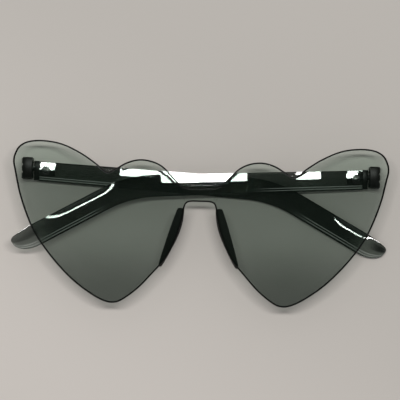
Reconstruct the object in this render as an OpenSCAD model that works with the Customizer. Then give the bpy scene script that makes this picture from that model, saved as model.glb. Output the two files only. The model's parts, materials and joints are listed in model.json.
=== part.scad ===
// Heart shaped sunglasses, folded, lying on a table with the front of the lens up.
// One rimless lens cut as two joined hearts carries two black three-knuckle hinges,
// two folding temples of clear smoky plastic and two black nose pads.
// Millimetres. X runs along the width, Y up the face and Z out of the front of the lens.
// The temple on the +X hinge folds first and lies next to the lens.
// The temple on the -X hinge folds over it and lies nearest the table.

/* [Lens] */
// Width of the lens over both hearts
lens_w = 146; // [120:1:160]
// Height of a heart from the top of its outer lobe to its point
heart_h = 62.4; // [50:0.2:75]
// How far the outer lobes stand above the clefts
lobe_rise = 11.6; // [9:0.1:14]
// Thickness of the lens
lens_t = 2; // [1.6:0.1:3]
// Radius of the lens's gentle wrap about the vertical
lens_r = 1500; // [900:50:4000]

/* [Hinges] */
// How far each hinge axis stands in from the end of the lens
hinge_inset = 5.2; // [4.6:0.1:7]
// How far each hinge axis stands behind the lens
hinge_behind = 7.4; // [6.6:0.1:9]
// Height of a hinge over its three knuckles
hinge_h = 8.6; // [7:0.1:10]
// Height of the middle of the hinges above the clefts
hinge_y = 0.6; // [-1:0.1:2]
// Radius of a knuckle
knuckle_r = 2.3; // [1.9:0.05:2.5]
// Height of the middle knuckle
tongue_h = 2.9; // [2:0.1:3.6]
// Gap above and below the middle knuckle
knuckle_gap = 0.1; // [0.05:0.05:0.3]
// Chamfer round the ends of a knuckle
knuckle_chamfer = 0.5; // [0.1:0.05:0.6]
// Radius of the hinge screw
screw_r = 0.7; // [0.5:0.05:0.9]
// Radial clearance between the screw and the middle knuckle
screw_play = 0.05; // [0.02:0.01:0.1]
// Radius of the head of the hinge screw
screw_head_r = 1.3; // [1.1:0.05:1.5]
// Height of the head of the hinge screw
screw_head_h = 0.7; // [0.4:0.1:1]

/* [Temples] */
// Reach of a temple from its hinge axis to its tip, along the fold line
temple_reach = 141; // [120:1:150]
// Height of a temple at its hinge end
temple_h = 7.5; // [6:0.1:9]
// Height of a temple at its bend
bend_h = 8.6; // [7:0.1:10]
// Height of a temple near its tip
tip_h = 8.7; // [6:0.1:9.5]
// Thickness of a temple at its hinge end
temple_t = 2.8; // [2.4:0.1:3.2]
// Thickness of a temple at its tip
tip_t = 1.8; // [1.5:0.1:2.4]
// Length of the straight stretch from the hinge axis to the bend
straight_len = 85; // [70:1:100]
// Fall of the straight stretch below the level, in degrees
fall_angle = 3.1; // [1:0.1:5]
// Turn of the bend over the ear, in degrees
bend_angle = 26; // [15:1:35]
// Radius of the bend over the ear
bend_r = 48; // [30:1:80]
// Height of the middle of the temple's hinge end above the clefts
temple_y = -0.25; // [-1:0.05:1]

/* [Temple fixings] */
// Length of the black end block, which shows between the hinge and the plastic
block_len = 2.1; // [1.5:0.1:3]
// Length of the plate that the end block sends into the plastic
plate_len = 6; // [5:0.1:10]
// Height of that plate
plate_h = 4.4; // [3.4:0.1:5.5]
// Thickness of that plate
plate_t = 1.2; // [0.8:0.1:1.6]
// Distance of the rivet from the hinge axis
rivet_u = 7.2; // [6.6:0.1:9]
// Radius of the rivet's shank
rivet_r = 0.8; // [0.5:0.05:1]
// Radius of the rivet's head and foot
rivet_head_r = 1.75; // [1.3:0.05:2.2]
// Height of the rivet's head and foot
rivet_head_h = 0.35; // [0.2:0.05:0.5]

/* [Nose pads] */
// Height of a nose pad
pad_h = 23; // [18:0.5:26]
// Spread of a nose pad from its top corner out to its foot
pad_spread = 9.25; // [7:0.05:11]
// How far a nose pad stands out behind the lens
pad_depth = 5.8; // [4:0.1:7]
// Distance of a nose pad's top corner from the middle
pad_x = 6.15; // [5.5:0.05:8]
// Depth of a nose pad's top below the clefts
pad_drop = 13.3; // [12:0.1:16]

/* [Clearances] */
// Gap that the black pieces keep from the plastic round them
seat_gap = 0.05; // [0.02:0.01:0.15]
// Gap between moving pieces at the hinges
turn_gap = 0.35; // [0.3:0.05:0.4]
// Gap left between the two folded temples
cross_gap = 0.2; // [0.15:0.05:0.5]
// Gap left between the lens's level at the hinge and the tip of the temple next to it
tip_gap = 0.1; // [0.05:0.05:0.6]

/* [Hidden] */
$fn = 128;
left = -1;
right = 1;

// Overrun by which a cut passes through what it cuts
over = 1;
// Sides of the very large circles of the wrapped lens
wrap_fn = 900;
// Points of the outlines between two of their knots
curve_steps = 4;
// Points round the bend of a temple
bend_steps = 10;

half_w = lens_w / 2;
hinge_x = half_w - hinge_inset;

// Depth of the lens's wrap at a distance from the middle
function sag(x) = lens_r - sqrt(lens_r * lens_r - x * x);

lens_back_at_hinge = -lens_t - sag(hinge_x);
axis_z = lens_back_at_hinge - hinge_behind;

// The right half of the lens's edge, from the top of the bridge over the heart and back to the
// bridge's underside. Shares of the half width from the middle, and of the heart's height
// below the top of the outer lobe.
edge_shares = [
    [0, 0.273], [0.052, 0.273], [0.088, 0.264], [0.118, 0.241], [0.150, 0.202], [0.205, 0.141],
    [0.262, 0.111], [0.328, 0.103], [0.392, 0.122], [0.449, 0.161], [0.478, 0.182], [0.494, 0.187],
    [0.512, 0.179], [0.558, 0.134], [0.640, 0.071], [0.742, 0.018], [0.845, 0], [0.925, 0.010],
    [0.972, 0.043], [0.996, 0.098], [1, 0.140], [0.992, 0.186], [0.961, 0.342], [0.903, 0.521],
    [0.852, 0.623], [0.769, 0.747], [0.671, 0.862], [0.574, 0.945], [0.506, 0.987], [0.456, 1],
    [0.408, 0.986], [0.318, 0.907], [0.240, 0.808], [0.181, 0.727], [0.136, 0.631], [0.104, 0.527],
    [0.086, 0.439], [0.082, 0.398], [0.073, 0.371], [0.052, 0.360], [0, 0.359]
];

// A nose pad seen from the front: shares of its spread out from its top corner, and of its
// height below its top
pad_shares = [
    [0.016, 0.013], [0.243, 0], [0.373, 0.113], [0.578, 0.357], [0.773, 0.613], [0.970, 0.890],
    [1, 0.970], [0.957, 1], [0.870, 0.983], [0.503, 0.717], [0.222, 0.474], [0.070, 0.283],
    [0, 0.091]
];

// The end of a temple, from its upper edge round its nose to its lower edge: shares of the
// temple's height there, back from the end and up from the middle line
tip_shares = [
    [1.1, 0.5], [0.184, 0.398], [0.03, 0.31], [0, 0.184], [0.08, -0.092], [0.374, -0.34],
    [0.78, -0.478], [1.2, -0.5]
];

// Unit direction of a smooth curve where it passes its knot i
function along(k, i, closed) =
    let (n = len(k),
         before = closed ? k[(i + n - 1) % n] : k[max(i - 1, 0)],
         after = closed ? k[(i + 1) % n] : k[min(i + 1, n - 1)],
         reach = norm(k[i] - before) + norm(after - k[i]))
    (after - before) / reach;

// A point of the cubic from a to b that leaves along p and arrives along q, at share t
function cubic(a, b, p, q, t) =
    let (d = norm(b - a), t2 = t * t, t3 = t2 * t)
    (2 * t3 - 3 * t2 + 1) * a + (t3 - 2 * t2 + t) * d * p
    + (3 * t2 - 2 * t3) * b + (t3 - t2) * d * q;

// The smooth curve through the knots k
function curve(k, closed) = [
    for (i = [0 : len(k) - (closed ? 1 : 2)], s = [0 : curve_steps - 1])
        let (j = (i + 1) % len(k))
        cubic(k[i], k[j], along(k, i, closed), along(k, j, closed), s / curve_steps)
];

lens_edge = curve([for (p = edge_shares) [p[0] * half_w, lobe_rise - p[1] * heart_h]], false);
pad_edge = curve([for (p = pad_shares) [p[0] * pad_spread, -p[1] * pad_h]], true);

// A temple is drawn in its own frame: its hinge axis is the Y axis, it runs along +X, and +Z
// is its inner side, which faces the lens when it is folded.
final_angle = fall_angle + bend_angle;
bend_len = bend_r * bend_angle * PI / 180;
bend_start = [straight_len * cos(fall_angle), temple_y - straight_len * sin(fall_angle)];
bend_end = bend_start + bend_r * [
    sin(final_angle) - sin(fall_angle),
    cos(final_angle) - cos(fall_angle)
];

// A point at height h off the temple's middle line, where that line passes p and falls by a
function off_line(p, a, h) = p + h * [sin(a), cos(a)];

// The tip round the end of its middle line, and the place of that end
tip_round = curve([for (p = tip_shares)
    off_line(-p[0] * tip_h * [cos(final_angle), -sin(final_angle)], final_angle, p[1] * tip_h)],
    false);
last_len = (temple_reach - max([for (p = tip_round) p[0]]) - bend_end[0]) / cos(final_angle);
tip_end = bend_end + last_len * [cos(final_angle), -sin(final_angle)];

// Height of a temple a share t of the way along its straight stretch
function early_h(t) = temple_h + (bend_h - temple_h) * t;

// One long edge of a temple: side is 1 for the upper edge and -1 for the lower one
function long_edge(side) = concat(
    [off_line([temple_start, temple_y - temple_start * tan(fall_angle)], fall_angle,
        side * early_h(temple_start / straight_len) / 2)],
    [for (i = [0 : bend_steps])
        let (a = fall_angle + bend_angle * i / bend_steps)
        off_line(bend_start + bend_r * [sin(a) - sin(fall_angle), cos(a) - cos(fall_angle)],
            a, side * bend_h / 2)]
);

// Thickness of a temple at a distance u from its hinge axis
function thickness(u) =
    temple_t + (tip_t - temple_t) * (u - temple_start) / (temple_reach - temple_start);

block_start = knuckle_r + turn_gap;
temple_start = block_start + block_len + seat_gap;
plate_end = block_start + block_len + plate_len;
// Depth of the rivet's foot behind the temple's middle plane
rivet_foot = thickness(rivet_u + rivet_head_r) / 2;

// Fold of each temple past the line parallel to the lens, in degrees, towards the lens
inner_fold = asin((hinge_behind - tip_t / 2 - tip_gap) / temple_reach);
outer_fold = atan(min([for (s = [0 : 0.01 : 1]) if (one_over_other(s * hinge_x))
    clear_slope(s * hinge_x)]));

// Whether the folded temples lie one over the other at a distance x from the middle, on the
// side where the outer one bends
function one_over_other(x) =
    lookup(hinge_x + x, edge_to_tip(1)) > lookup(hinge_x - x, edge_to_tip(-1));
function edge_to_tip(side) =
    concat(long_edge(side), [off_line(tip_end, final_angle, side * tip_h / 2)]);

// Slope at which the outer temple just clears the inner one there
function clear_slope(x) =
    ((hinge_x - x) * tan(inner_fold) - thickness(hinge_x) - cross_gap) / (hinge_x + x);

// What the folded glasses stand on: the knuckles' backs and the tip of the outer temple
lowest = min(axis_z - knuckle_r, axis_z + temple_reach * sin(outer_fold) - tip_t / 2);

// Stands the glasses on the table with the middle of their outline over the origin
module laid() {
    translate([0, heart_h / 2 - lobe_rise, -lowest]) children();
}

// Puts what is drawn in a temple's own frame on its hinge, folded
module on_temple(side) {
    fold = side == right ? inner_fold : outer_fold;
    laid()
        translate([side * hinge_x, 0, axis_z])
            mirror([side == right ? 1 : 0, 0, 0])
                rotate([0, -fold, 0])
                    children();
}

// A round bar along Y between two heights
module bar(r, y0, y1) {
    translate([0, y0, 0]) rotate([-90, 0, 0]) cylinder(r = r, h = y1 - y0);
}

// A knuckle along Y with chamfered ends
module knuckle(y0, y1) {
    c = knuckle_chamfer;
    translate([0, y0, 0])
        rotate([-90, 0, 0])
            rotate_extrude()
                polygon([
                    [0, 0], [knuckle_r - c, 0], [knuckle_r, c],
                    [knuckle_r, y1 - y0 - c], [knuckle_r - c, y1 - y0], [0, y1 - y0]
                ]);
}

// A box between two corners
module block(low, high) {
    translate(low) cube(high - low);
}

// Everything behind the surface that lies at depth behind the front of the lens
module behind_lens(depth) {
    translate([0, heart_h, -lens_r])
        rotate([90, 0, 0])
            cylinder(r = lens_r - depth, h = 3 * heart_h, $fn = wrap_fn);
}

// A prism along Y from y0 to y1 that lies flat against the back of the lens between x0 and x1
module against_lens(x0, x1, y0, y1, depth) {
    z0 = -lens_t - sag(x0);
    z1 = -lens_t - sag(x1);
    translate([0, y1, 0])
        rotate([90, 0, 0])
            linear_extrude(height = y1 - y0)
                polygon([[x0, z0], [x1, z1], [x1, z1 - depth], [x0, z0 - depth]]);
}

module heart_lens() {
    drop = lens_t + sag(half_w) + over;
    color([0.36, 0.39, 0.37, 0.6])
        laid()
            intersection() {
                difference() {
                    behind_lens(0);
                    behind_lens(lens_t);
                }
                translate([0, 0, -drop])
                    linear_extrude(height = drop + over)
                        polygon(concat(
                            lens_edge,
                            [for (i = [len(lens_edge) - 1 : -1 : 1])
                                [-lens_edge[i][0], lens_edge[i][1]]]
                        ));
            }
}

// The fixed half of a hinge: a web bonded to the lens, with an upper and a lower knuckle
module hinge_mount(side) {
    y0 = hinge_y - hinge_h / 2;
    y1 = hinge_y + hinge_h / 2;
    slot = tongue_h / 2 + knuckle_gap;
    web_in = knuckle_r - knuckle_chamfer / 2;
    web_out = knuckle_r * 0.6;
    color([0.05, 0.05, 0.05])
        laid()
            translate([side * hinge_x, 0, axis_z])
                mirror([side == left ? 1 : 0, 0, 0])
                    difference() {
                        union() {
                            knuckle(y0, hinge_y - slot);
                            knuckle(hinge_y + slot, y1);
                            translate([-hinge_x, 0, -axis_z])
                                against_lens(hinge_x - web_in, hinge_x + web_out,
                                    y0 + knuckle_chamfer, y1 - knuckle_chamfer, hinge_behind);
                        }
                        bar(screw_r, y0 - over, y1 + over);
                        bar(screw_head_r, y1 - screw_head_h, y1 + over);
                        bar(knuckle_r + turn_gap, hinge_y - slot, hinge_y + slot);
                        block([-knuckle_r - over, hinge_y - slot, -knuckle_r - over],
                            [knuckle_r + over, hinge_y + slot, temple_t / 2 + turn_gap]);
                    }
}

// The moving half of a hinge: the middle knuckle, the end block and the plate in the plastic
module hinge_tongue(side) {
    top = off_line([block_start, temple_y], fall_angle, temple_h / 2)[1];
    bottom = off_line([block_start, temple_y], fall_angle, -temple_h / 2)[1];
    color([0.06, 0.06, 0.06])
        on_temple(side)
            difference() {
                union() {
                    knuckle(hinge_y - tongue_h / 2, hinge_y + tongue_h / 2);
                    block([0, hinge_y - tongue_h / 2 + knuckle_chamfer, -temple_t / 2],
                        [block_start + seat_gap, hinge_y + tongue_h / 2 - knuckle_chamfer, temple_t / 2]);
                    block([block_start, bottom, -temple_t / 2],
                        [block_start + block_len, top, temple_t / 2]);
                    block([block_start, temple_y - plate_h / 2, -plate_t / 2],
                        [plate_end, temple_y + plate_h / 2, plate_t / 2]);
                }
                bar(screw_r + screw_play, hinge_y - tongue_h, hinge_y + tongue_h);
                translate([rivet_u, temple_y, -temple_t])
                    cylinder(r = rivet_r, h = 2 * temple_t);
            }
}

// The screw that a hinge turns on, held by the outer knuckles
module hinge_screw(side) {
    y0 = hinge_y - hinge_h / 2;
    y1 = hinge_y + hinge_h / 2;
    color([0.45, 0.45, 0.46])
        laid()
            translate([side * hinge_x, 0, axis_z]) {
                bar(screw_r, y0, y1 - screw_head_h);
                bar(screw_head_r, y1 - screw_head_h, y1);
            }
}

module temple(side) {
    color([0.42, 0.44, 0.42, 0.7])
        on_temple(side)
            difference() {
                intersection() {
                    translate([0, 0, -temple_t])
                        linear_extrude(height = 2 * temple_t)
                            polygon(concat(
                                long_edge(1),
                                [for (p = tip_round) tip_end + p],
                                [for (p = [len(long_edge(-1)) - 1 : -1 : 0]) long_edge(-1)[p]]
                            ));
                    translate([0, lens_w / 2, 0])
                        rotate([90, 0, 0])
                            linear_extrude(height = lens_w)
                                polygon([
                                    [temple_start, -temple_t / 2],
                                    [temple_reach + over, -thickness(temple_reach + over) / 2],
                                    [temple_reach + over, thickness(temple_reach + over) / 2],
                                    [temple_start, temple_t / 2]
                                ]);
                }
                block([0, temple_y - plate_h / 2 - seat_gap, -plate_t / 2 - seat_gap],
                    [plate_end + seat_gap, temple_y + plate_h / 2 + seat_gap, plate_t / 2 + seat_gap]);
                translate([rivet_u, temple_y, -temple_t])
                    cylinder(r = rivet_r, h = 2 * temple_t);
                translate([rivet_u, temple_y, -rivet_foot - over])
                    cylinder(r = rivet_head_r + seat_gap, h = rivet_head_h + over);
            }
}

// The rivet that holds the plastic on the plate: its head stands on the inner side, and its foot
// is sunk level with the outer side
module temple_rivet(side) {
    color([0.1, 0.1, 0.1])
        on_temple(side)
            translate([rivet_u, temple_y, 0]) {
                translate([0, 0, -rivet_foot]) cylinder(r = rivet_r, h = rivet_foot + temple_t / 2);
                translate([0, 0, -rivet_foot]) cylinder(r = rivet_head_r, h = rivet_head_h);
                translate([0, 0, temple_t / 2]) cylinder(r = rivet_head_r, h = rivet_head_h);
            }
}

// A leaf of soft plastic bonded to the lens beside the nose, deepest at its middle
module nose_pad(side) {
    round_r = (pow(pad_h / 2, 2) + pow(pad_depth, 2)) / (2 * pad_depth);
    back = lens_t + sag(pad_x + pad_spread);
    color([0.06, 0.06, 0.05])
        laid()
            mirror([side == left ? 1 : 0, 0, 0])
                intersection() {
                    against_lens(pad_x - over, pad_x + pad_spread + over,
                        -pad_drop - pad_h - over, -pad_drop + over, back + pad_depth);
                    translate([pad_x, -pad_drop, -back - pad_depth - over])
                        linear_extrude(height = back + pad_depth + over)
                            polygon(pad_edge);
                    translate([0, -pad_drop - pad_h / 2, -back - pad_depth + round_r])
                        rotate([0, 90, 0])
                            cylinder(r = round_r, h = half_w);
                }
}

heart_lens();
hinge_mount(left);  // hinge_mount_left
hinge_mount(right);  // hinge_mount_right
hinge_tongue(left);  // hinge_tongue_left
hinge_tongue(right);  // hinge_tongue_right
hinge_screw(left);  // hinge_screw_left
hinge_screw(right);  // hinge_screw_right
temple(left);  // temple_left
temple(right);  // temple_right
temple_rivet(left);  // temple_rivet_left
temple_rivet(right);  // temple_rivet_right
nose_pad(left);  // nose_pad_left
nose_pad(right);  // nose_pad_right
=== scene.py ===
"""Heart shaped sunglasses, folded on a table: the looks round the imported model.

Lengths are in millimetres until a mesh takes its place in the row frame, which is in metres,
as the studio's own lengths are. Angles are in degrees.
"""

import json
import logging
import math
from dataclasses import dataclass, replace
from enum import Enum
from typing import Callable

import bmesh
import bpy
from mathutils import Matrix, Vector

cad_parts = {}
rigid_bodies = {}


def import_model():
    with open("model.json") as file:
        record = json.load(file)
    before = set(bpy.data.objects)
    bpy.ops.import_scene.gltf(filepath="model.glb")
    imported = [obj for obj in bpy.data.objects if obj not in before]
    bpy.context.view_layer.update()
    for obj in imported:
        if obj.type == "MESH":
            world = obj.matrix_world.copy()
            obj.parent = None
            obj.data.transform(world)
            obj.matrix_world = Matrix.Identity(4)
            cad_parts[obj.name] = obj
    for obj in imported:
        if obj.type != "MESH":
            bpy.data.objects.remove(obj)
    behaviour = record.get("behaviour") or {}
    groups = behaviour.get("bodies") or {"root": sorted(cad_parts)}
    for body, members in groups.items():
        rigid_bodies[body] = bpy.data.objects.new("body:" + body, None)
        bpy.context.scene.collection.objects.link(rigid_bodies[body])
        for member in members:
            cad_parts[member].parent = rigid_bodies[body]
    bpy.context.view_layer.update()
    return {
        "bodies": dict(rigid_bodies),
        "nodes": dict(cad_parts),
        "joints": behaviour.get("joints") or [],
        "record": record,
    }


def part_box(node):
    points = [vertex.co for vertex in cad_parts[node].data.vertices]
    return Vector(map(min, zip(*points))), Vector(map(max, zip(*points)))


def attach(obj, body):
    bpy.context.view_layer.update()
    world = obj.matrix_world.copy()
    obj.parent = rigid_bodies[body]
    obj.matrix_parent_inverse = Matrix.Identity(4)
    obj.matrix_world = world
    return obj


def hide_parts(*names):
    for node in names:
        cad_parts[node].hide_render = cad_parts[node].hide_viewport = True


LOG = logging.getLogger("sunglasses")

MM = 0.001
# Corners of a CAD mesh nearer to each other than this many millimetres are one
MERGE_GAP = 0.0005
# Faces of a CAD mesh that turn by less than this from one to the next are one flat face
FLAT_TURN = 0.3
# Points whose heights differ by less than this many millimetres lie on one level
LEVEL_GAP = 0.01
# The least number that a sum divides by
LEAST = 1e-9
# The inputs of a Mix node between its factor and its colours, which are left alone
MIX_UNUSED = (None,) * 5
# The output of a Mix node that carries its colour
MIX_COLOUR = 2

Colour = tuple[float, float, float]
Band = tuple[float, float]


class Side(Enum):
    """The hinge that a piece belongs to: the sign of its X, and the name's ending."""

    LEFT = -1
    RIGHT = 1

    @property
    def word(self) -> str:
        """The ending of the names on this side."""
        return self.name.lower()

    @property
    def arm(self) -> str:
        """The CAD body of the temple on this side."""
        return f"{self.word}_arm"


class Region(Enum):
    """The faces of a clear plastic piece that take a finish of their own, by material slot."""

    FACE = 0
    RIM = 1
    WALL = 2


# Modelling helpers


def deselect() -> None:
    """Leaves edit mode and deselects every object."""
    if bpy.context.object and bpy.context.object.mode != "OBJECT":
        bpy.ops.object.mode_set(mode="OBJECT")
    bpy.ops.object.select_all(action="DESELECT")


def only(piece: bpy.types.Object) -> None:
    """Makes one piece the active and only selected object.

    Args:
        piece: The object to select.
    """
    deselect()
    piece.select_set(True)
    bpy.context.view_layer.objects.active = piece


def edit(piece: bpy.types.Object) -> None:
    """Enters edit mode with all of a piece selected.

    Args:
        piece: The object to edit.
    """
    only(piece)
    bpy.ops.object.mode_set(mode="EDIT")
    bpy.ops.mesh.select_mode(type="VERT")
    bpy.ops.mesh.select_all(action="SELECT")


def pick(piece: bpy.types.Object, kind: str, wanted: Callable[..., bool]) -> None:
    """Selects only the faces or edges that a test picks, by their place or normal.

    Args:
        piece: The object in edit mode.
        kind: FACE or EDGE.
        wanted: The test.
    """
    bpy.ops.mesh.select_mode(type=kind)
    bpy.ops.mesh.select_all(action="DESELECT")
    mesh = bmesh.from_edit_mesh(piece.data)
    mesh.normal_update()
    for part in mesh.faces if kind == "FACE" else mesh.edges:
        if wanted(part):
            part.select_set(True)
    bmesh.update_edit_mesh(piece.data)


def stop_editing() -> None:
    """Leaves edit mode."""
    bpy.ops.object.mode_set(mode="OBJECT")


def paint_steep(piece: bpy.types.Object, limit: float, region: Region) -> None:
    """Gives the faces that are steep to the table the material slot of a region.

    Args:
        piece: The object, in place.
        limit: Faces whose normal's Z is less than this either way are painted.
        region: The region, whose value is the slot's index.
    """
    for polygon in piece.data.polygons:
        if abs(polygon.normal.z) < limit:
            polygon.material_index = region.value


def apply_modifier(piece: bpy.types.Object, kind: str, **settings: object) -> None:
    """Adds a modifier, sets it up and applies it.

    Args:
        piece: The object.
        kind: The modifier's type.
        settings: Its settings.
    """
    only(piece)
    modifier = piece.modifiers.new(kind.lower(), kind)
    for key, value in settings.items():
        setattr(modifier, key, value)
    bpy.ops.object.modifier_apply(modifier=modifier.name)


def bevel_sharp(piece: bpy.types.Object, width: float, strips: int, angle: float = 40.0) -> None:
    """Rounds the sharp edges of a piece.

    Args:
        piece: The object, in place.
        width: The width of the rounding in millimetres.
        strips: The number of strips across it.
        angle: Edges sharper than this are rounded.
    """
    apply_modifier(
        piece,
        "BEVEL",
        width=width * MM,
        segments=strips,
        limit_method="ANGLE",
        angle_limit=math.radians(angle),
    )


def weigh_normals(piece: bpy.types.Object, weight: int = 100) -> None:
    """Has the large faces of a piece keep their own shading next to a rounded edge.

    Args:
        piece: The object, already shaded smooth.
        weight: How much more a large face counts, up to 100.
    """
    apply_modifier(piece, "WEIGHTED_NORMAL", mode="FACE_AREA", weight=weight, keep_sharp=True)


def smooth(piece: bpy.types.Object, angle: float = 32.0) -> None:
    """Shades a piece smooth, but not across its sharp edges.

    Args:
        piece: The object.
        angle: Edges sharper than this stay sharp.
    """
    only(piece)
    bpy.ops.object.shade_smooth_by_angle(angle=math.radians(angle))


def copy_of_node(frame: dict, node: str, name: str) -> bpy.types.Object:
    """Copies a CAD node's mesh and merges its loose triangles into whole faces.

    Args:
        node: The CAD node.
        name: The new piece's name.

    Returns:
        The copy, with flat areas made single faces.
    """
    piece = bpy.data.objects.new(name, frame["nodes"][node].data.copy())
    bpy.context.scene.collection.objects.link(piece)
    piece.data.materials.clear()
    edit(piece)
    bpy.ops.mesh.remove_doubles(threshold=MERGE_GAP * MM)
    bpy.ops.mesh.dissolve_limited(angle_limit=math.radians(FLAT_TURN))
    stop_editing()
    return piece


def settle(piece: bpy.types.Object, body: str, node: str) -> None:
    """Fastens a finished piece to its CAD body, and has it stand for a CAD node.

    Args:
        piece: The object, in place in the row frame.
        body: The CAD body that it moves with.
        node: The CAD node that it replaces.
    """
    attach(piece, body)
    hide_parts(node)
    LOG.info("%s: %d faces, rides on %s", piece.name, len(piece.data.polygons), body)


def smooth_curve(knots: list[Vector], steps: int) -> list[Vector]:
    """A smooth line through knots, of the same cubics as the CAD's outlines.

    Args:
        knots: The points that it passes.
        steps: Points from one knot to the next.

    Returns:
        The points, from the first knot to the last.
    """
    ways = []
    for i, knot in enumerate(knots):
        before, after = knots[max(i - 1, 0)], knots[min(i + 1, len(knots) - 1)]
        ways.append((after - before) / ((knot - before).length + (after - knot).length))
    points = []
    for a, b, p, q in zip(knots, knots[1:], ways, ways[1:]):
        reach = (b - a).length
        for i in range(steps):
            t = i / steps
            points.append(
                (2 * t**3 - 3 * t**2 + 1) * a
                + (t**3 - 2 * t**2 + t) * reach * p
                + (3 * t**2 - 2 * t**3) * b
                + (t**3 - t**2) * reach * q
            )
    return points + [knots[-1]]


def height_on(chain: list[Vector], x: float) -> float:
    """The height of a chain of points, whose x grows, at a value of x.

    Args:
        chain: The points.
        x: The value, which lies between the first point's x and the last one's.

    Returns:
        The height.
    """
    for a, b in zip(chain, chain[1:]):
        if a.x <= x <= b.x:
            return a.y + (b.y - a.y) * (x - a.x) / max(b.x - a.x, LEAST)
    return chain[0].y


# Shader helpers


@dataclass(frozen=True)
class Signal:
    """A shader socket on which Python's operators add Math nodes."""

    tree: "NodeTree"
    socket: bpy.types.NodeSocket

    def _math(self, operation: str, *values: "float | Signal") -> "Signal":
        """Adds one Math node."""
        return self.tree.node("ShaderNodeMath", {"operation": operation}, *values)

    def __add__(self, other: "float | Signal") -> "Signal":
        """This plus other."""
        return self._math("ADD", self, other)

    __radd__ = __add__

    def __sub__(self, other: "float | Signal") -> "Signal":
        """This minus other."""
        return self._math("SUBTRACT", self, other)

    def __rsub__(self, other: "float | Signal") -> "Signal":
        """Other minus this."""
        return self._math("SUBTRACT", other, self)

    def __mul__(self, other: "float | Signal") -> "Signal":
        """This times other."""
        return self._math("MULTIPLY", self, other)

    __rmul__ = __mul__

    def band(self, low: float, high: float) -> "Signal":
        """Rises smoothly from 0 at low to 1 at high.

        Args:
            low: The value that gives 0.
            high: The value that gives 1.

        Returns:
            The smooth step.
        """
        return self.tree.node(
            "ShaderNodeMapRange", {"interpolation_type": "SMOOTHSTEP"}, self, low, high, 0.0, 1.0
        )


class NodeTree:
    """A shader's nodes, which take numbers, colours and signals."""

    def __init__(self, tree: bpy.types.ShaderNodeTree) -> None:
        """Keeps the nodes and links of a material or a world."""
        self.nodes = tree.nodes
        self.links = tree.links

    def fill(self, socket: bpy.types.NodeSocket, value: "float | Colour | Signal | None") -> None:
        """Links a signal to a socket, or sets the socket's constant.

        Args:
            socket: The input.
            value: What it gets; None leaves it alone.
        """
        if isinstance(value, Signal):
            self.links.new(value.socket, socket)
        elif isinstance(value, tuple):
            socket.default_value = (*value, 1.0)
        elif value is not None:
            socket.default_value = value

    def node(
        self,
        kind: str,
        settings: dict | None = None,
        *values: "float | Colour | Signal | None",
        output: int | str = 0,
    ) -> Signal:
        """Adds a node, sets it up, then fills its inputs in order.

        Args:
            kind: The node's type.
            settings: Its settings, set before its sockets.
            values: A number, colour or Signal for each input; None leaves one alone.
            output: The name or index of the output to return.

        Returns:
            The output as a Signal.
        """
        made = self.nodes.new(kind)
        for key, value in (settings or {}).items():
            setattr(made, key, value)
        for socket, value in zip(made.inputs, values):
            self.fill(socket, value)
        return Signal(self, made.outputs[output])

    def part(self, vector: Signal, way: str) -> Signal:
        """The X, Y or Z of a vector."""
        return self.node("ShaderNodeSeparateXYZ", None, vector, output=way)

    def blend(
        self, share: Signal, low: "Colour | Signal", high: "Colour | Signal"
    ) -> Signal:
        """A colour between two.

        Args:
            share: 0 gives low and 1 gives high.
            low: The first colour.
            high: The second colour.

        Returns:
            The colour.
        """
        values = (share, *MIX_UNUSED, low, high)
        return self.node("ShaderNodeMix", {"data_type": "RGBA"}, *values, output=MIX_COLOUR)


class Surface(NodeTree):
    """A material whose Principled shader takes constants and procedural signals."""

    def __init__(self, name: str) -> None:
        """Starts a material with a plain Principled shader.

        Args:
            name: The material's name.
        """
        self.material = bpy.data.materials.new(name)
        self.material.use_nodes = True
        super().__init__(self.material.node_tree)
        self.shader = self.nodes["Principled BSDF"]

    def where(self) -> Signal:
        """The place on the piece, in metres, in the row frame at rest."""
        return self.node("ShaderNodeTexCoord", output="Object")

    def along_and_across(self) -> tuple[Signal, Signal]:
        """The place on a temple, from its piece's own UV map.

        Returns:
            The shares from its hinge to its tip, and from its lower to its upper edge.
        """
        place = self.node("ShaderNodeUVMap")
        return self.part(place, "X"), self.part(place, "Y")

    def noise(self, scale: float, detail: float = 3.0, roughness: float = 0.55) -> Signal:
        """Soft noise from 0 to 1.

        Args:
            scale: Patches per metre.
            detail: Octaves.
            roughness: How much the finer octaves count.

        Returns:
            The noise.
        """
        return self.node("ShaderNodeTexNoise", None, self.where(), None, scale, detail, roughness)

    def set(self, **sockets: "float | Colour | Signal") -> None:
        """Fills sockets of the Principled shader.

        Args:
            sockets: Values by socket name, with _ for each space.
        """
        for key, value in sockets.items():
            self.fill(self.shader.inputs[key.replace("_", " ")], value)

    def see_through(self, cover: Signal, passes: Colour) -> None:
        """Lets light through the surface where it isn't covered.

        Args:
            cover: The share of the light that meets the Principled shader.
            passes: The colour that the rest takes.
        """
        clear = self.node("ShaderNodeBsdfTransparent", None, passes)
        solid = Signal(self, self.shader.outputs["BSDF"])
        mixed = self.node("ShaderNodeMixShader", None, cover, clear, solid)
        self.fill(self.nodes["Material Output"].inputs["Surface"], mixed)

    def bump(self, height: Signal, depth: float, strength: float) -> None:
        """Gives the surface fine relief.

        Args:
            height: The height from 0 to 1.
            depth: What 1 stands for, in millimetres.
            strength: How much of it shows.
        """
        self.set(Normal=self.node("ShaderNodeBump", None, strength, depth * MM, None, height))


# The finishes


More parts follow.
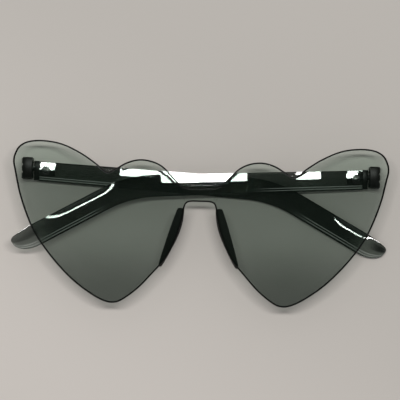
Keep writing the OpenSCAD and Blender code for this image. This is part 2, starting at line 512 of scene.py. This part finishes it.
@dataclass(frozen=True)
class SmokyPlastic:
    """Clear smoky plastic: each surface that light crosses takes its share of it."""

    name: str
    body: Colour
    cover: float
    passes: Colour = (0.955, 1.0, 0.975)
    roughness: float = 0.035
    shine: float = 0.5
    ior: float = 1.58
    coat: float = 0.0
    coat_roughness: float = 0.03
    coat_ior: float = 2.4
    smudge_scale: float = 38.0
    smudge_band: Band = (0.35, 0.7)
    smudge_pale: float = 1.3
    smudge_rough: float = 0.03
    smudge_cover: float = 0.01

    def material(self) -> bpy.types.Material:
        """Makes the material.

        Returns:
            The material, whose colour, gloss and cover vary a little with handling marks.
        """
        made = Surface(self.name)
        smudges = made.noise(self.smudge_scale).band(*self.smudge_band)
        marks = made.blend(smudges, self.body, tuple(self.smudge_pale * c for c in self.body))
        made.set(
            Base_Color=self.lined(made, marks),
            Roughness=self.roughness + self.smudge_rough * smudges,
            IOR=self.ior,
            Specular_IOR_Level=self.shine,
            Coat_Weight=self.coated(made),
            Coat_Roughness=self.coat_roughness,
            Coat_IOR=self.coat_ior,
        )
        made.see_through(self.covered(made) + self.smudge_cover * smudges, self.passes)
        return made.material

    def lined(self, made: Surface, colour: Signal) -> Signal:
        """The colour with painted highlight lines, of which this finish has none."""
        return colour

    def coated(self, made: Surface) -> "float | Signal":
        """How much of the clear outer gloss there is."""
        return self.coat

    def covered(self, made: Surface) -> "float | Signal":
        """The share of the light that doesn't pass a clean surface."""
        return self.cover


@dataclass(frozen=True)
class LensPlastic(SmokyPlastic):
    """The smoky plastic of the lens's faces, lighter in two steps towards the hearts' tops.

    The lighter steps are painted light, for the lit table seen through the hearts' tops.
    The steps lie between heights up the face in metres.
    """

    # Painted light: the lens is made clearer in steps up its face, for the lit table seen under it
    middle_cover: float = 0.265
    top_cover: float = 0.115
    middle_from: Band = (-0.03, -0.001)
    top_from: Band = (0.0135, 0.0235)

    def covered(self, made: Surface) -> Signal:
        """The share that doesn't pass: less towards the top, which is painted light.

        Args:
            made: The material's nodes.

        Returns:
            The share.
        """
        up = made.part(made.where(), "Y")
        # Painted light: the clearer steps towards the top
        middle = (self.middle_cover - self.cover) * up.band(*self.middle_from)
        top = (self.top_cover - self.middle_cover) * up.band(*self.top_from)
        return self.cover + middle + top


@dataclass(frozen=True)
class TemplePlastic(SmokyPlastic):
    """The smoky plastic of a temple, with painted highlight lines along its lower edge, painted
    shade at its bend, and its tip's dark core.

    Its places are shares of the temple's length from the hinge, and of its height from below.
    """

    # Painted shade: the temple is made darker along its bend
    bend_cover: float = 0.66
    bend_from: Band = (0.43, 0.53)
    tip_cover: float = 0.4
    tip_from: Band = (0.76, 0.84)
    core: float = 0.3
    core_below: Band = (0.42, 0.56)
    core_above: Band = (0.8, 0.93)
    core_from: Band = (0.84, 0.92)
    # Painted highlights: pale lines along the lower edge, for light caught along the moulded edge
    line: Colour = (0.62, 0.63, 0.61)
    lines: tuple[float, ...] = (0.1, 0.21)
    line_half: float = 0.028
    lines_end: Band = (0.2, 0.28)
    lines_again: Band = (0.62, 0.7)
    edge: Band = (0.02, 0.055)
    edge_cover: float = 0.4

    def _edges(self, across: Signal) -> Signal:
        """1 along the two edges, where one looks through the plastic's whole height."""
        low, high = self.edge
        return 1 - across.band(low, high) + across.band(1 - high, 1 - low)

    def coated(self, made: Surface) -> "float | Signal":
        """The gloss, which ends short of the edges.

        Args:
            made: The material's nodes.

        Returns:
            The gloss over the surface, or a plain 0 on a finish that has none.
        """
        if not self.coat:
            return self.coat
        return self.coat * (1 - self._edges(made.along_and_across()[1]))

    def lined(self, made: Surface, colour: Signal) -> Signal:
        """The colour with pale painted highlight lines along the lower edge, but not where the
        temples cross.

        Args:
            made: The material's nodes.
            colour: The colour between the lines.

        Returns:
            The colour with its lines.
        """
        along, across = made.along_and_across()
        shown = 1 - along.band(*self.lines_end) + along.band(*self.lines_again)
        # Each pale line is a painted highlight, left out where the temples cross
        for place in self.lines:
            low, high = place - self.line_half, place + self.line_half
            band = across.band(low, place) - across.band(place, high)
            colour = made.blend(shown * band, colour, self.line)
        return colour

    def covered(self, made: Surface) -> Signal:
        """The share that doesn't pass: more at the bend as painted shade, less at the tip but for
        its core.

        Args:
            made: The material's nodes.

        Returns:
            The share.
        """
        along, across = made.along_and_across()
        # Painted shade: darker plastic along the bend
        bend = (self.bend_cover - self.cover) * along.band(*self.bend_from)
        tip = (self.tip_cover - self.bend_cover) * along.band(*self.tip_from)
        core = across.band(*self.core_below) - across.band(*self.core_above)
        core = self.core * (core * along.band(*self.core_from))
        return self.cover + bend + tip + core + self.edge_cover * self._edges(across)


@dataclass(frozen=True)
class DarkGloss:
    """Metal or black plastic with fine grain, in patches per metre, and faint wear."""

    name: str
    colour: Colour
    worn: Colour
    roughness: float
    grain: float
    depth: float
    metallic: float = 0.0
    shine: float = 0.5
    detail: float = 2.0
    relief: float = 0.6
    uneven: float = 0.14
    wear_scale: float = 0.13
    wear_band: Band = (0.45, 0.75)

    def material(self) -> bpy.types.Material:
        """Makes the material.

        Returns:
            The material, with its grain and wear.
        """
        made = Surface(self.name)
        grain = made.noise(self.grain, self.detail)
        wear = made.noise(self.grain * self.wear_scale).band(*self.wear_band)
        made.set(
            Base_Color=made.blend(wear, self.colour, self.worn),
            Roughness=self.roughness + self.uneven * (grain - 0.5),
            Metallic=self.metallic,
            Specular_IOR_Level=self.shine,
        )
        made.bump(grain, self.depth, self.relief)
        return made.material


@dataclass(frozen=True)
class TableTop:
    """The pale matt table, a little darker towards its upper right as the room shades it.

    The shade's band lies between places in metres, and the scales are patches per metre.
    """

    name: str = "table_top"
    light: Colour = (0.605, 0.567, 0.534)
    dark: Colour = (0.485, 0.459, 0.43)
    slant: float = 0.68
    shade_band: Band = (-0.11, 0.09)
    patch_scale: float = 5.0
    patch_shift: float = 0.03
    grain_scale: float = 900.0
    grain_rough: float = 0.1
    detail: float = 2.0
    roughness: float = 0.6
    shine: float = 0.25

    def material(self) -> bpy.types.Material:
        """Makes the material.

        Returns:
            The material, whose colour changes with the place on the table.
        """
        made = Surface(self.name)
        patches = made.noise(self.patch_scale, self.detail)
        grain = made.noise(self.grain_scale, self.detail)
        place = made.where()
        right, up = made.part(place, "X"), made.part(place, "Y")
        shade = self.slant * right + up + self.patch_shift * patches
        made.set(
            Base_Color=made.blend(shade.band(*self.shade_band), self.light, self.dark),
            Roughness=self.roughness + self.grain_rough * grain,
            Specular_IOR_Level=self.shine,
        )
        return made.material


LENS_FACE = LensPlastic("smoky_lens_face", body=(0.004, 0.007, 0.005), cover=0.45)
LENS_RIM = SmokyPlastic(
    "smoky_lens_rim", body=(0.001, 0.0015, 0.001), cover=0.99, roughness=0.12, shine=0.1
)
LENS_WALL = SmokyPlastic(
    "smoky_lens_wall", body=(0.008, 0.011, 0.009), cover=0.82, roughness=0.06
)
TEMPLE_LEFT = TemplePlastic(
    "smoky_temple_left",
    body=(0.004, 0.006, 0.004),
    cover=0.54,
    roughness=0.03,
    coat=1.0,
    tip_cover=0.36,
)
TEMPLE_RIGHT = replace(
    TEMPLE_LEFT,
    name="smoky_temple_right",
    core=0.22,
    core_above=(0.97, 1.0),
    core_from=(0.79, 0.83),
)
TEMPLE_RIM = TemplePlastic(
    "smoky_temple_rim",
    body=(0.001, 0.0015, 0.001),
    cover=0.9,
    roughness=0.07,
    shine=0.15,
    bend_cover=0.9,
    tip_cover=0.8,
    core=0.1,
)
HINGE_BLACK = DarkGloss(
    "hinge_black",
    colour=(0.004, 0.004, 0.0035),
    worn=(0.009, 0.009, 0.0085),
    roughness=0.3,
    grain=5200.0,
    depth=0.008,
    shine=0.1,
)
SCREW_STEEL = DarkGloss(
    "screw_steel",
    colour=(0.42, 0.42, 0.41),
    worn=(0.3, 0.3, 0.29),
    roughness=0.26,
    grain=4200.0,
    depth=0.008,
    metallic=1.0,
)
RIVET_BLACK = DarkGloss(
    "rivet_black",
    colour=(0.05, 0.052, 0.05),
    worn=(0.09, 0.092, 0.09),
    roughness=0.2,
    grain=3000.0,
    depth=0.006,
    metallic=1.0,
)
PAD_SOFT = DarkGloss(
    "pad_soft",
    colour=(0.004, 0.0036, 0.003),
    worn=(0.007, 0.0066, 0.0056),
    roughness=0.5,
    grain=2600.0,
    depth=0.01,
    shine=0.1,
)


# The sub-assemblies


@dataclass
class Lens:
    """The one-piece lens, cut as two joined hearts, with its polished edge.

    Its faces are told apart by the Z of their normals: flat ones have more than facing, the
    rounded rim less than rim_below, the side wall less than wall_below.
    """

    rim: float = 0.62
    rim_strips: int = 3
    rim_profile: float = 0.5
    columns: int = 18
    rows: int = 8
    facing: float = 0.9
    upright: float = 0.5
    rim_below: float = 0.985
    wall_below: float = 0.25
    sharp: float = 40.0

    def build(self, frame: dict) -> None:
        """Copies the CAD lens, cuts it into strips that keep its wrap, and rounds its edge.
        """
        lens = copy_of_node(frame, "heart_lens", "lens")
        edit(lens)
        for way in (1, -1):
            pick(lens, "FACE", lambda face: way * face.normal.z > self.facing)
            bpy.ops.mesh.dissolve_faces()
        low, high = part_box("heart_lens")
        for axis, count in enumerate((self.columns, self.rows)):
            across = Vector((0.0, 0.0, 0.0))
            across[axis] = 1.0
            for i in range(1, count):
                bpy.ops.mesh.select_all(action="SELECT")
                place = low[axis] + (high[axis] - low[axis]) * i / count
                bpy.ops.mesh.bisect(plane_co=place * across, plane_no=across)
        pick(lens, "EDGE", self._on_edge)
        bpy.ops.mesh.bevel(
            offset=self.rim * MM, segments=self.rim_strips, profile=self.rim_profile
        )
        stop_editing()
        paint_steep(lens, self.rim_below, Region.RIM)
        paint_steep(lens, self.wall_below, Region.WALL)
        smooth(lens, self.sharp)
        weigh_normals(lens)
        for finish in (LENS_FACE, LENS_RIM, LENS_WALL):
            lens.data.materials.append(finish.material())
        settle(lens, "front", "heart_lens")

    def _on_edge(self, edge: bmesh.types.BMEdge) -> bool:
        """Whether an edge parts the front or the back from the side wall.

        Args:
            edge: The edge.

        Returns:
            True on the outline of the front and of the back.
        """
        if len(edge.link_faces) != 2:
            return False
        lower, upper = sorted(abs(face.normal.z) for face in edge.link_faces)
        return lower < self.upright and upper > self.facing


@dataclass(frozen=True)
class Run:
    """A stretch of a temple, measured from the hinge axis, that comes and goes softly."""

    start: float
    end: float
    edge: float

    def share(self, travel: float) -> float:
        """How far inside the run a place is.

        Args:
            travel: Distance along the temple's middle line.

        Returns:
            From 0 outside it to 1 inside it.
        """
        inside = min(max(min(travel - self.start, self.end - travel) / self.edge, 0.0), 1.0)
        return inside * inside * (3 - 2 * inside)


@dataclass
class Temple:
    """A clear plastic temple with a ridge along its inner side.

    It is modelled in its own frame: the hinge axis is Y, it runs along X, and Z is the inner
    side, which faces the lens when it is folded. The fold is its turn from the line parallel to
    the lens, towards the lens. Up to the bend two facets meet at the ridge, and the upper one
    tilts into the lamp's light along the bright runs. From the bend on they give way to a crown,
    which is higher along the gleam.
    """

    side: Side
    plastic: TemplePlastic
    fold: float
    bright: tuple[Run, ...]
    gleam: Run
    hinge: tuple[float, float, float] = (67.8, 19.6, 2.44443)
    y: float = -0.25
    reach: float = 141.0
    start: float = 4.8
    straight: float = 85.0
    fall: float = 3.1
    turn: float = 26.0
    bend_r: float = 48.0
    heights: tuple[float, float, float] = (7.5, 8.6, 8.7)
    thick: float = 2.8
    tip_thick: float = 1.8
    tip_shares: tuple[tuple[float, float], ...] = (
        (1.1, 0.5), (0.184, 0.398), (0.03, 0.31), (0.0, 0.184), (0.08, -0.092),
        (0.374, -0.34), (0.78, -0.478), (1.2, -0.5),
    )
    tip_steps: int = 4
    ridge: float = 0.12
    bright_tilt: float = 5.8
    dull_tilt: float = -2.5
    lower_tilt: float = 6.0
    crown_from: float = 97.0
    crown_over: float = 8.0
    crown: float = 0.04
    gleam_crown: float = 0.6
    lower_crown: float = 0.45
    nose_len: float = 4.0
    nose_drop: float = 0.4
    across: int = 17
    plain_sections: int = 88
    tip_sections: int = 20
    merge_gap: float = 0.004
    rounding: float = 0.4
    rounding_strips: int = 3
    rounding_from: float = 50.0
    rim_below: float = 0.8
    sharp: float = 40.0

    def __post_init__(self) -> None:
        """Draws the tip's two edges from the nose back, as the CAD does."""
        edge = smooth_curve([Vector(share) for share in self.tip_shares], self.tip_steps)
        nose = self.tip_steps * [back for back, _ in self.tip_shares].index(0.0)
        self.tip_upper = edge[nose::-1]
        self.tip_lower = edge[nose:]
        last = math.radians(self.fall + self.turn)
        self.tip_out = self.heights[2] * max(
            p.y * math.sin(last) - p.x * math.cos(last) for p in edge
        )

    def _middle(self, travel: float) -> tuple[Vector, float, float]:
        """The middle line of the temple.

        Args:
            travel: Distance along it from the hinge axis.

        Returns:
            The point, the fall there in radians, and the height of the temple there.
        """
        fall, turn = math.radians(self.fall), math.radians(self.turn)
        first, second, last = self.heights
        bend_len = self.bend_r * turn
        if travel <= self.straight:
            share = travel / self.straight
            point = Vector((travel * math.cos(fall), self.y - travel * math.sin(fall), 0.0))
            return point, fall, first + (second - first) * share
        corner = Vector(
            (self.straight * math.cos(fall), self.y - self.straight * math.sin(fall), 0.0)
        )
        angle = min(fall + (travel - self.straight) / self.bend_r, fall + turn)
        point = corner + self.bend_r * Vector(
            (math.sin(angle) - math.sin(fall), math.cos(angle) - math.cos(fall), 0.0)
        )
        past = travel - self.straight - bend_len
        if past <= 0:
            return point, angle, second
        end = point + past * Vector((math.cos(angle), -math.sin(angle), 0.0))
        return end, angle, second + (last - second) * past / self._last_len()

    def _last_len(self) -> float:
        """Length of the last straight stretch, up to the end of the tip.

        Returns:
            The length that gives the temple its reach.
        """
        fall, turn = math.radians(self.fall), math.radians(self.turn)
        bend_end = self.straight * math.cos(fall) + self.bend_r * (
            math.sin(fall + turn) - math.sin(fall)
        )
        return (self.reach - self.tip_out - bend_end) / math.cos(fall + turn)

    def _length(self) -> float:
        """Length of the middle line from the hinge axis to the end of the tip."""
        return self.straight + self.bend_r * math.radians(self.turn) + self._last_len()

    def _stations(self) -> list[float]:
        """The places of the sections, closer together at the tip.

        Returns:
            The distances along the middle line.
        """
        tip = self.tip_shares[-1][0] * self.heights[2]
        run = self._length() - tip - self.start
        plain, rounded = self.plain_sections, self.tip_sections
        return [self.start + run * i / plain for i in range(plain)] + [
            self._length() - tip * (1.0 - math.sin(math.pi / 2 * i / rounded))
            for i in range(rounded + 1)
        ]

    def _span(self, travel: float, height: float) -> tuple[float, float]:
        """The lower and the upper edge, as heights off the middle line.

        Args:
            travel: Distance along the middle line.
            height: The temple's height there, away from its tip.

        Returns:
            The two heights.
        """
        back = (self._length() - travel) / self.heights[2]
        if back >= self.tip_shares[-1][0]:
            return -height / 2, height / 2
        upper, lower = (
            chain[-1].y if back >= chain[-1].x else height_on(chain, back)
            for chain in (self.tip_upper, self.tip_lower)
        )
        return lower * self.heights[2], upper * self.heights[2]

    def _tilt(self, travel: float) -> float:
        """Slope of the upper facet, steep enough to catch the lamp along the bright runs."""
        share = max(run.share(travel) for run in self.bright)
        return self.dull_tilt + (self.bright_tilt - self.dull_tilt) * share

    def _thickness(self, travel: float) -> float:
        """Thickness of the temple at a distance along it."""
        share = (travel - self.start) / (self.reach - self.start)
        return self.thick + (self.tip_thick - self.thick) * min(share, 1.0)

    def _inner(self, travel: float, share: float, height: float) -> float:
        """Height of the inner side over the middle plane.

        Args:
            travel: Distance along the middle line.
            share: Place across the height, from -1 at the bottom to 1 at the top.
            height: The temple's height there.

        Returns:
            The height of the surface.
        """
        above = max(share - self.ridge, 0.0)
        below = max(self.ridge - share, 0.0)
        facets = math.tan(math.radians(self._tilt(travel))) * above * height / 2
        facets += math.tan(math.radians(self.lower_tilt)) * below * height / 2
        crown = self.crown + self.gleam_crown * self.gleam.share(travel)
        crowned = crown * (above / (1 - self.ridge)) ** 2
        crowned += self.lower_crown * (below / (1 + self.ridge)) ** 2
        rounded = min(max((travel - self.crown_from) / self.crown_over, 0.0), 1.0)
        nose = max(1.0 - (self._length() - travel) / self.nose_len, 0.0)
        drop = (1 - rounded) * facets + rounded * crowned + self.nose_drop * nose ** 2
        return self._thickness(travel) / 2 - drop

    def build(self) -> None:
        """Models the temple and puts it on its hinge."""
        temple = self._inner_side()
        self._close(temple)
        self.place(temple, Vector((0.0, 0.0, 0.0)))
        bevel_sharp(temple, self.rounding, self.rounding_strips, self.rounding_from)
        paint_steep(temple, self.rim_below, Region.RIM)
        smooth(temple, self.sharp)
        weigh_normals(temple)
        for finish in (self.plastic, TEMPLE_RIM):
            temple.data.materials.append(finish.material())
        settle(temple, self.side.arm, f"temple_{self.side.word}")

    def _inner_side(self) -> bpy.types.Object:
        """Bends a grid to the inner side, a column of points for each section.

        Returns:
            The grid, which keeps its UV map as the place along and across the temple.
        """
        places = self._stations()
        deselect()
        bpy.ops.mesh.primitive_grid_add(
            x_subdivisions=len(places) - 1, y_subdivisions=self.across - 1, size=1.0
        )
        temple = bpy.context.object
        temple.name = f"temple_{self.side.word}_plastic"
        for vertex in temple.data.vertices:
            travel = places[round((vertex.co.x + 0.5) * (len(places) - 1))]
            row = round((vertex.co.y + 0.5) * (self.across - 1))
            point, fall, height = self._middle(travel)
            low, high = self._span(travel, height)
            off = low + (high - low) * row / (self.across - 1)
            vertex.co = point + off * Vector((math.sin(fall), math.cos(fall), 0.0))
            vertex.co.z = self._inner(travel, off / (height / 2), height)
        return temple

    def _close(self, temple: bpy.types.Object) -> None:
        """Gives the temple its sides and its flat outer side, which the tip's taper tilts.

        Args:
            temple: The inner side.
        """
        outer = -self.thick / 2
        edit(temple)
        bpy.ops.mesh.extrude_region_move(TRANSFORM_OT_translate={"value": (0.0, 0.0, outer)})
        bpy.ops.transform.resize(value=(1.0, 1.0, 0.0), center_override=(0.0, 0.0, 0.0))
        bpy.ops.transform.translate(value=(0.0, 0.0, outer))
        stop_editing()
        taper = (self.thick - self.tip_thick) / 2 / (self.reach - self.start)
        for vertex in temple.data.vertices:
            if vertex.co.z < outer + LEVEL_GAP:
                vertex.co.z += taper * (vertex.co.x - self.start)
        edit(temple)
        bpy.ops.mesh.remove_doubles(threshold=self.merge_gap)
        bpy.ops.mesh.normals_make_consistent(inside=False)
        stop_editing()

    def place(self, piece: bpy.types.Object, at: Vector) -> None:
        """Moves a mesh from the temple's own frame to its place in the row frame.

        Args:
            piece: The object.
            at: Where its middle goes in the temple's own frame.
        """
        turn = Matrix.Rotation(math.radians(-self.fold), 4, "Y")
        if self.side is Side.RIGHT:
            turn = Matrix.Scale(-1.0, 4, (1.0, 0.0, 0.0)) @ turn
        x, y, z = self.hinge
        hinge = Matrix.Translation(Vector((self.side.value * x, y, z)))
        piece.data.transform(Matrix.Scale(MM, 4) @ hinge @ turn @ Matrix.Translation(at))
        if self.side is Side.RIGHT:
            piece.data.flip_normals()
        piece.data.update()


@dataclass
class Hinge:
    """The black three-knuckle hinge of one side, with its screw and rivet.

    A ring of the rivet is how much wider it is than the one before, and how far beyond it.
    """

    temple: Temple
    knuckle_round: float = 0.14
    screw_round: float = 0.06
    round_strips: int = 2
    slot: tuple[float, float, float] = (3.4, 0.7, 0.32)
    rivet_travel: float = 7.2
    rivet_r: float = 1.75
    rivet_h: float = 0.35
    rivet_sides: int = 48
    rivet_sharp: float = 28.0
    shank_r: float = 0.8
    foot_depth: float = 1.375
    seat: float = 0.02
    facing: float = 0.9
    head_rings: tuple[tuple[float, float], ...] = (
        (1.0, 0.16), (0.93, 0.12), (0.8, 0.05), (0.86, -0.12), (0.8, 0.0), (0.62, 0.12), (0.5, 0.0),
    )
    foot_rings: tuple[tuple[float, float], ...] = ((1.0, 0.3), (0.97, 0.05), (0.2, 0.0))

    def build(self, frame: dict) -> None:
        """Builds and dresses the hinge's pieces.
        """
        side = self.temple.side
        black = HINGE_BLACK.material()
        for part, body in (("mount", "front"), ("tongue", side.arm)):
            node = f"hinge_{part}_{side.word}"
            piece = copy_of_node(frame, node, f"{node}_black")
            bevel_sharp(piece, self.knuckle_round, self.round_strips)
            smooth(piece)
            piece.data.materials.append(black)
            settle(piece, body, node)
        self._screw(frame)
        self._rivet()

    def _screw(self, frame: dict) -> None:
        """Copies the CAD screw and cuts the slot of its head.
        """
        node = f"hinge_screw_{self.temple.side.word}"
        piece = copy_of_node(frame, node, f"{node}_steel")
        low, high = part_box(node)
        deselect()
        bpy.ops.mesh.primitive_cube_add(
            size=1.0,
            location=((low.x + high.x) / 2, high.y, (low.z + high.z) / 2),
            scale=[length * MM for length in self.slot],
        )
        cutter = bpy.context.object
        apply_modifier(piece, "BOOLEAN", object=cutter, operation="DIFFERENCE", solver="EXACT")
        bpy.data.objects.remove(cutter)
        bevel_sharp(piece, self.screw_round, self.round_strips)
        smooth(piece)
        piece.data.materials.append(SCREW_STEEL.material())
        settle(piece, "front", node)

    def _rivet(self) -> None:
        """Models the rivet: a domed, ringed inner head, and a foot sunk in the outer side."""
        side = self.temple.side
        low, high = -self.foot_depth + self.rivet_h, self.temple.thick / 2 + self.seat
        deselect()
        bpy.ops.mesh.primitive_cylinder_add(
            vertices=self.rivet_sides,
            radius=self.shank_r,
            depth=high - low,
            location=(0.0, 0.0, (low + high) / 2),
        )
        piece = bpy.context.object
        piece.name = f"temple_rivet_{side.word}_head"
        bpy.ops.object.transform_apply(location=True, rotation=False, scale=False)
        edit(piece)
        pick(piece, "FACE", lambda face: abs(face.normal.z) > self.facing)
        bpy.ops.mesh.delete(type="ONLY_FACE")
        for way, level, rings in ((1, high, self.head_rings), (-1, low, self.foot_rings)):
            pick(
                piece,
                "EDGE",
                lambda edge: all(abs(v.co.z - level) < LEVEL_GAP for v in edge.verts),
            )
            for grow, rise in ((self.rivet_r / self.shank_r, 0.0), *rings):
                bpy.ops.mesh.extrude_edges_move(
                    TRANSFORM_OT_translate={"value": (0.0, 0.0, way * rise)}
                )
                bpy.ops.transform.resize(
                    value=(grow, grow, 1.0), center_override=(0.0, 0.0, level)
                )
            bpy.ops.mesh.edge_face_add()
        bpy.ops.mesh.select_all(action="SELECT")
        bpy.ops.mesh.normals_make_consistent(inside=False)
        stop_editing()
        self.temple.place(piece, Vector((self.rivet_travel, self.temple.y, 0.0)))
        smooth(piece, self.rivet_sharp)
        piece.data.materials.append(RIVET_BLACK.material())
        settle(piece, side.arm, f"temple_rivet_{side.word}")


@dataclass
class NosePads:
    """The two leaf shaped pads of soft black plastic."""

    rounding: float = 0.55
    rounding_strips: int = 4
    rounding_from: float = 30.0
    sharp: float = 60.0

    def build(self, frame: dict) -> None:
        """Copies the CAD pads and rounds them as moulded plastic is.
        """
        finish = PAD_SOFT.material()
        for side in Side:
            node = f"nose_pad_{side.word}"
            piece = copy_of_node(frame, node, f"{node}_soft")
            bevel_sharp(piece, self.rounding, self.rounding_strips, self.rounding_from)
            smooth(piece, self.sharp)
            piece.data.materials.append(finish)
            settle(piece, "front", node)


@dataclass
class Studio:
    """The camera above the table, the table and the lights.

    Lengths are in metres, but for the sensor's width, which is in millimetres.
    """

    distance: float = 1.0
    frame_width: float = 0.1547
    centre: tuple[float, float] = (-0.0001, 0.0096)
    turn: float = 1.6
    lens_level: float = 0.0133
    sensor: float = 36.0
    clip: Band = (0.01, 20.0)
    table_size: float = 6.0
    table_level: float = -0.00002
    key_from_vertical: float = 12.0
    key_distance: float = 0.9
    key_size: tuple[float, float] = (0.64, 0.08)
    key_watts: float = 5.3
    key_colour: Colour = (1.0, 0.99, 0.97)
    walls: Colour = (0.45, 0.45, 0.45)
    ceiling: Colour = (0.03, 0.03, 0.03)
    ceiling_from: Band = (0.8, 0.95)

    def camera(self) -> None:
        """Places the camera straight above the glasses, turned a little to them."""
        data = bpy.data.cameras.new("camera")
        data.sensor_width = self.sensor
        data.lens = data.sensor_width * self.distance / self.frame_width
        data.clip_start, data.clip_end = self.clip
        camera = bpy.data.objects.new("camera", data)
        camera.location = (*self.centre, self.lens_level + self.distance)
        camera.rotation_euler = (0.0, 0.0, math.radians(self.turn))
        bpy.context.scene.collection.objects.link(camera)
        bpy.context.scene.camera = camera

    def floor(self) -> None:
        """Lays the pale table under the glasses."""
        deselect()
        bpy.ops.mesh.primitive_plane_add(
            size=self.table_size, location=(0.0, 0.0, self.table_level)
        )
        table = bpy.context.object
        table.name = "table"
        table.data.materials.append(TableTop().material())

    def lights(self) -> None:
        """Hangs the wide soft lamp and sets the even light of the room."""
        bpy.context.scene.view_settings.view_transform = "Standard"
        lean = math.radians(self.key_from_vertical)
        lamp = bpy.data.lights.new("window", "AREA")
        lamp.shape = "RECTANGLE"
        lamp.size, lamp.size_y = self.key_size
        lamp.energy = self.key_watts
        lamp.color = self.key_colour
        window = bpy.data.objects.new("window", lamp)
        window.location = (
            0.0,
            self.key_distance * math.sin(lean),
            self.key_distance * math.cos(lean),
        )
        window.rotation_euler = (-lean, 0.0, 0.0)
        window.visible_camera = False
        bpy.context.scene.collection.objects.link(window)
        self._room()

    def _room(self) -> None:
        """Sets pale walls all round and a dim ceiling behind the camera."""
        world = bpy.data.worlds.new("room")
        bpy.context.scene.world = world
        world.use_nodes = True
        room = NodeTree(world.node_tree)
        up = room.part(room.node("ShaderNodeTexCoord", output="Generated"), "Z")
        seen = room.blend(up.band(*self.ceiling_from), self.walls, self.ceiling)
        room.fill(room.nodes["Background"].inputs["Color"], seen)


def main() -> None:
    """Builds the studio and the glasses, in order."""
    logging.basicConfig(level=logging.INFO, format="%(name)s: %(message)s")
    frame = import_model()
    studio = Studio()
    studio.camera()
    studio.floor()
    studio.lights()
    Lens().build(frame)
    temples = (
        Temple(
            side=Side.LEFT,
            plastic=TEMPLE_LEFT,
            fold=-0.627598,
            bright=(Run(2.0, 12.0, 1.5), Run(26.4, 30.0, 1.2), Run(33.8, 68.0, 2.5)),
            gleam=Run(118.0, 141.0, 8.0),
        ),
        Temple(
            side=Side.RIGHT,
            plastic=TEMPLE_RIGHT,
            fold=2.60155,
            bright=(Run(4.6, 12.8, 1.6), Run(19.0, 32.5, 2.0), Run(44.0, 89.0, 8.0)),
            gleam=Run(84.0, 134.0, 14.0),
        ),
    )
    for temple in temples:
        temple.build()
        Hinge(temple).build(frame)
    NosePads().build(frame)


if __name__ == "__main__":
    main()
